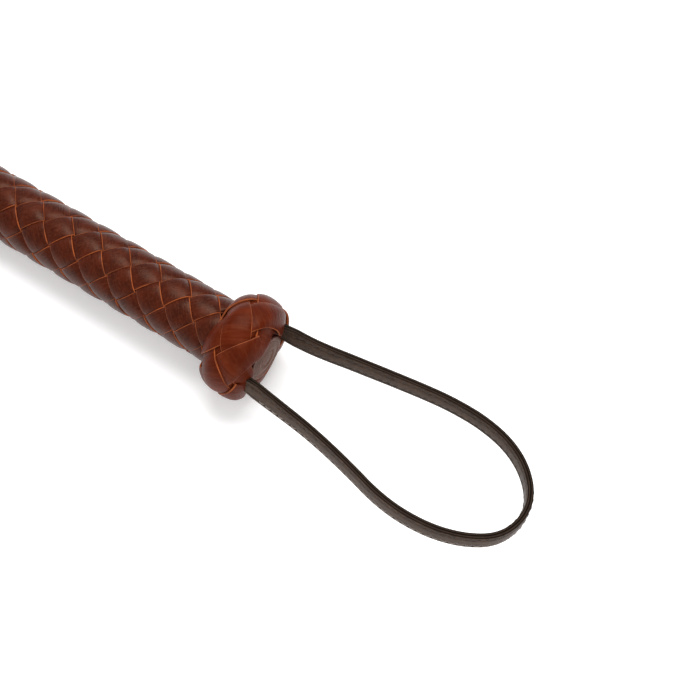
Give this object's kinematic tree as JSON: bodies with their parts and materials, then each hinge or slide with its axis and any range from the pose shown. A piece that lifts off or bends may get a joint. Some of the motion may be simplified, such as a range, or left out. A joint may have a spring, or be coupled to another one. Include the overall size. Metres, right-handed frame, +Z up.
{
  "type": "riding crop",
  "caption": "Plaited leather riding crop with a large woven knob, round end cap, stitched wrist loop, slim shaft and flat leather keeper.",
  "frame": {"origin": "centre of the crop's overall box, on the surface that it lies on", "axes": "+X along the crop towards its butt and wrist loop, +Z up, lying on its knob and keeper"},
  "size_m": [0.7877, 0.0582, 0.0481],
  "materials": {
    "handle_leather": "plaited, waxed",
    "knob_leather": "plaited, waxed",
    "cap_leather": "pressed, satin",
    "cap_edge_leather": "burnished",
    "strap_leather": "oiled, blackened edges",
    "shaft_leather": "plaited, waxed",
    "keeper_leather": "oiled",
    "waxed_thread": "waxed thread",
    "strap_thread": "waxed thread",
    "turned_wood": "turned, raw",
    "fibreglass": "matt",
    "tack_brass": "bright"
  },
  "bodies": {
    "crop": {"shaft_rod": "fibreglass", "knob_core": "turned_wood", "knob_lace": "knob_leather", "end_cap_backing": "cap_edge_leather", "end_cap": "cap_leather", "handle_core": "turned_wood", "handle_lace_right_1": "handle_leather", "handle_lace_right_2": "handle_leather", "handle_lace_right_3": "handle_leather", "handle_lace_right_4": "handle_leather", "handle_lace_right_5": "handle_leather", "handle_lace_left_1": "handle_leather", "handle_lace_left_2": "handle_leather", "handle_lace_left_3": "handle_leather", "handle_lace_left_4": "handle_leather", "handle_lace_left_5": "handle_leather", "handle_binding": "waxed_thread", "front_knot_lace": "knob_leather", "front_cover": "handle_leather", "shaft_cover": "shaft_leather", "keeper_neck": "keeper_leather", "tip_binding": "waxed_thread", "loop_tail_left": "strap_leather", "loop_tail_right": "strap_leather", "loop_tacks": "tack_brass"},
    "wrist_loop": {"loop_outer_ply": "strap_leather", "loop_inner_ply": "strap_leather", "loop_stitching": "strap_thread"},
    "keeper": {"keeper_lower_leaf": "keeper_leather", "keeper_upper_leaf": "keeper_leather", "keeper_stitching": "strap_thread"}
  },
  "joints": [
    {"name": "loop_swing", "type": "hinge", "parent": "crop", "child": "wrist_loop", "pos_m": [0.26814, 0, 0.02456], "axis": [0, -1, 0], "range_deg": [-70, 70], "stiffness_Nm_per_rad": 0.1},
    {"name": "keeper_flex", "type": "hinge", "parent": "crop", "child": "keeper", "pos_m": [-0.30769, 0, 0.00185], "axis": [0, 1, 0], "range_deg": [-45, 45], "stiffness_Nm_per_rad": 0.08}
  ]
}
